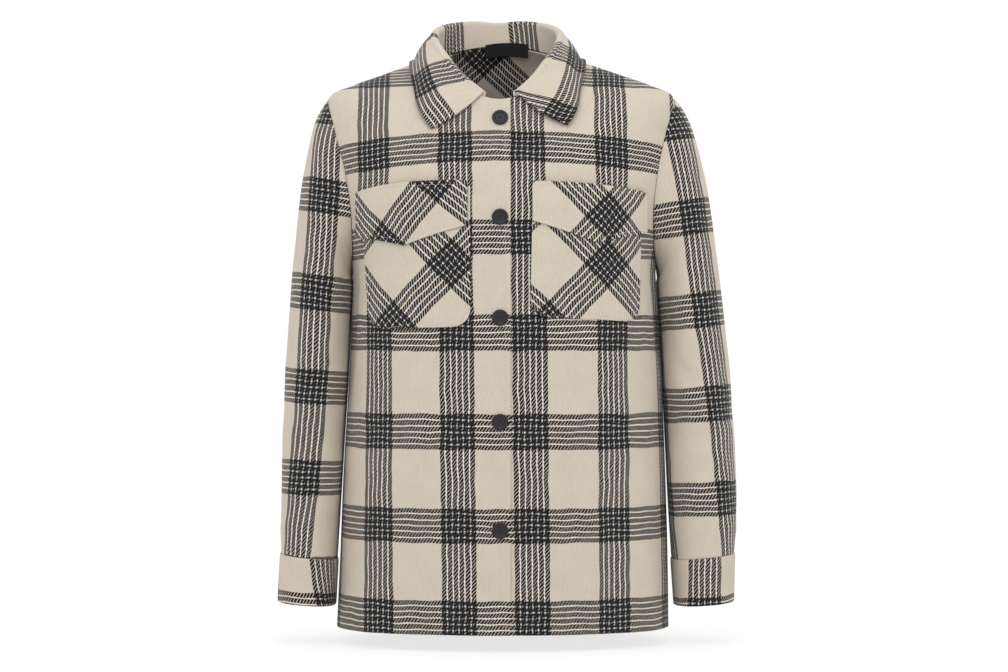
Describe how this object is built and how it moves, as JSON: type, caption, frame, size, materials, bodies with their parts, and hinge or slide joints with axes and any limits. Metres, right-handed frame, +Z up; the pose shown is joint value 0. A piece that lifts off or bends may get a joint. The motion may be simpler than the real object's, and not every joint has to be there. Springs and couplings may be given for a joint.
{
  "type": "shacket, in its worn hollow form with no wearer",
  "caption": "Plaid wool shirt jacket in its worn hollow form, with a turned-down collar, buttoned front, flap pockets and cuffed sleeves.",
  "frame": {"origin": "midway between the two highest points of the shoulders beside the neck, where the wearer's shoulders hold the garment up", "axes": "+Z up towards the collar, +X towards the wearer's left, -Y out of the chest"},
  "size_m": [0.5478, 0.2638, 0.7316],
  "materials": {
    "plaid_wool": "brushed wool blend in a 2/2 twill, cream with black and white stripes crossing in a plaid, matt with a soft nap",
    "button_resin": "black resin with a low shine and a raised rim",
    "label_tape": "black woven tape, bare"
  },
  "bodies": {
    "root": {"back": "plaid_wool", "yoke": "plaid_wool", "collar": "plaid_wool", "label": "label_tape", "front_right": "plaid_wool", "front_left": "plaid_wool", "sleeve_right": "plaid_wool", "sleeve_left": "plaid_wool", "cuff_right": "plaid_wool", "cuff_left": "plaid_wool", "pocket_right": "plaid_wool", "pocket_left": "plaid_wool", "flap_right": "plaid_wool", "flap_left": "plaid_wool", "button_1": "button_resin", "button_2": "button_resin", "button_3": "button_resin", "button_4": "button_resin", "button_5": "button_resin"}
  },
  "joints": []
}
